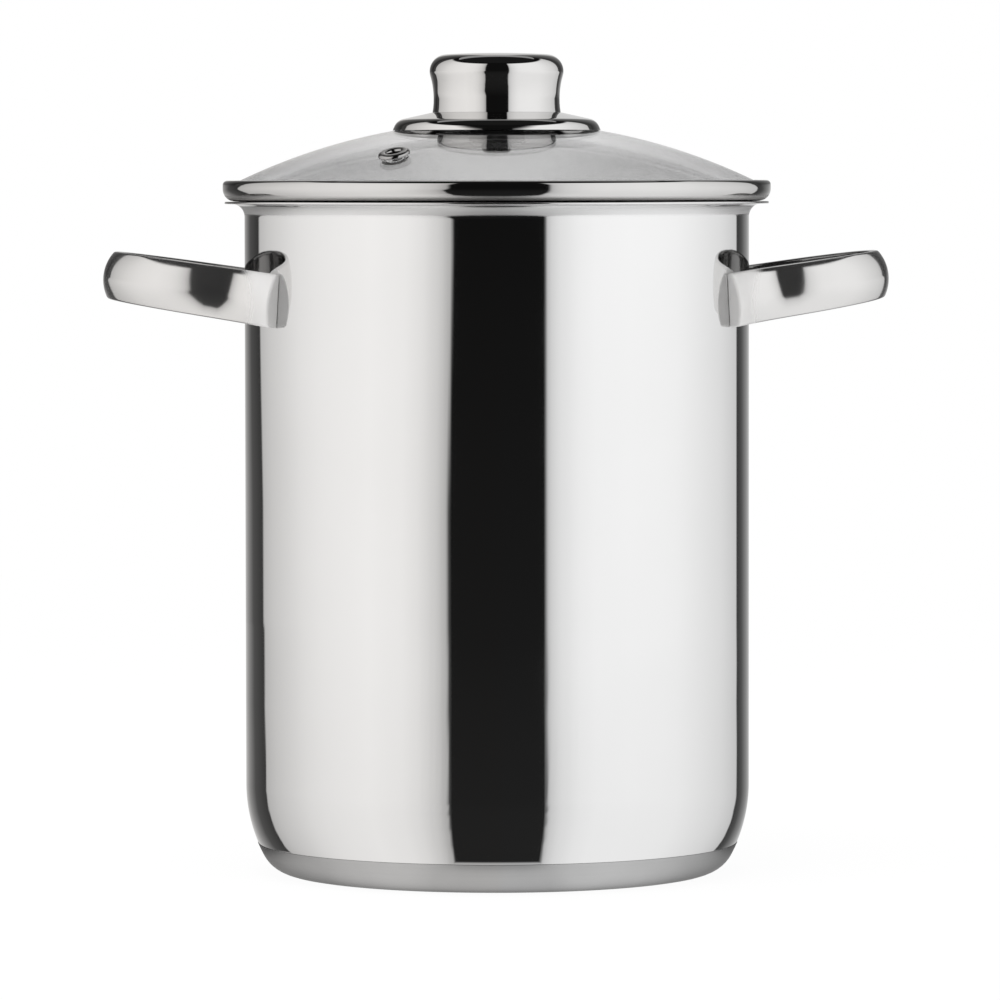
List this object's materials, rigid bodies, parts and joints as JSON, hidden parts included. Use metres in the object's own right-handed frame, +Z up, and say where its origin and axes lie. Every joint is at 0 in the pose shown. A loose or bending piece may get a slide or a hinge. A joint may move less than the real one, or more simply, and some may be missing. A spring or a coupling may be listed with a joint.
{
  "type": "asparagus pot",
  "caption": "Tall polished steel asparagus pot with side handles, a domed glass lid in a steel band and a lift-out wire basket with swing handles.",
  "frame": {"origin": "on the pot's axis, at the underside of the base", "axes": "+Z up, +X through the right side handle, -Y towards the viewer of the picture"},
  "size_m": [0.2498, 0.174, 0.2607],
  "materials": {
    "polished_steel": "mirror polished stainless steel",
    "cast_steel": "cast and polished stainless steel",
    "knob_steel": "polished stainless steel sheet",
    "eyelet_steel": "polished rolled eyelet",
    "satin_steel": "satin, turned round the axis",
    "aluminium_core": "plain pressed disc",
    "lid_glass": "clear tempered glass, faintly grey",
    "seal_rubber": "translucent silicone",
    "insert_plastic": "moulded, unpolished",
    "screw_steel": "plain machined steel",
    "basket_wire": "bright drawn wire, spot welded"
  },
  "bodies": {
    "pot": {"pot_body": "polished_steel", "base_cap": "satin_steel", "base_core": "aluminium_core", "side_handle_left": "cast_steel", "side_handle_right": "cast_steel", "lid_glass": "lid_glass", "lid_band": "polished_steel", "vent_eyelet": "eyelet_steel", "lid_knob": "knob_steel", "knob_insert": "insert_plastic", "knob_rose": "knob_steel", "knob_gasket": "seal_rubber", "glass_seal": "seal_rubber", "screw_washer": "screw_steel", "knob_screw": "screw_steel", "basket_top_ring": "basket_wire", "basket_floor_ring": "basket_wire", "basket_hoop_1": "basket_wire", "basket_hoop_2": "basket_wire", "basket_cross_wire_left": "basket_wire", "basket_cross_wire_right": "basket_wire", "basket_upright_01": "basket_wire", "basket_upright_02": "basket_wire", "basket_upright_03": "basket_wire", "basket_upright_04": "basket_wire", "basket_upright_05": "basket_wire", "basket_upright_06": "basket_wire", "basket_upright_07": "basket_wire", "basket_upright_08": "basket_wire", "basket_upright_09": "basket_wire", "basket_upright_10": "basket_wire", "basket_upright_11": "basket_wire", "basket_upright_12": "basket_wire", "basket_upright_13": "basket_wire", "basket_upright_14": "basket_wire", "basket_upright_15": "basket_wire", "basket_upright_16": "basket_wire", "basket_upright_17": "basket_wire", "basket_upright_18": "basket_wire", "basket_upright_19": "basket_wire", "basket_upright_20": "basket_wire", "basket_floor_wire_1": "basket_wire", "basket_floor_wire_2": "basket_wire", "basket_floor_wire_3": "basket_wire", "basket_floor_wire_4": "basket_wire", "basket_floor_wire_5": "basket_wire", "basket_floor_wire_6": "basket_wire", "basket_floor_wire_7": "basket_wire", "basket_foot_1": "basket_wire", "basket_foot_2": "basket_wire", "basket_foot_3": "basket_wire", "basket_eye_left_front": "basket_wire", "basket_eye_left_back": "basket_wire", "basket_eye_right_front": "basket_wire", "basket_eye_right_back": "basket_wire"},
    "swing_left": {"basket_handle_left": "basket_wire"},
    "swing_right": {"basket_handle_right": "basket_wire"}
  },
  "joints": [
    {"name": "swing_handle_left", "type": "hinge", "parent": "pot", "child": "swing_left", "pos_m": [-0.05853, 0, 0.172], "axis": [0, -1, 0], "range_deg": [-6, 195]},
    {"name": "swing_handle_right", "type": "hinge", "parent": "pot", "child": "swing_right", "pos_m": [0.05853, 0, 0.172], "axis": [0, 1, 0], "range_deg": [-6, 195]}
  ]
}
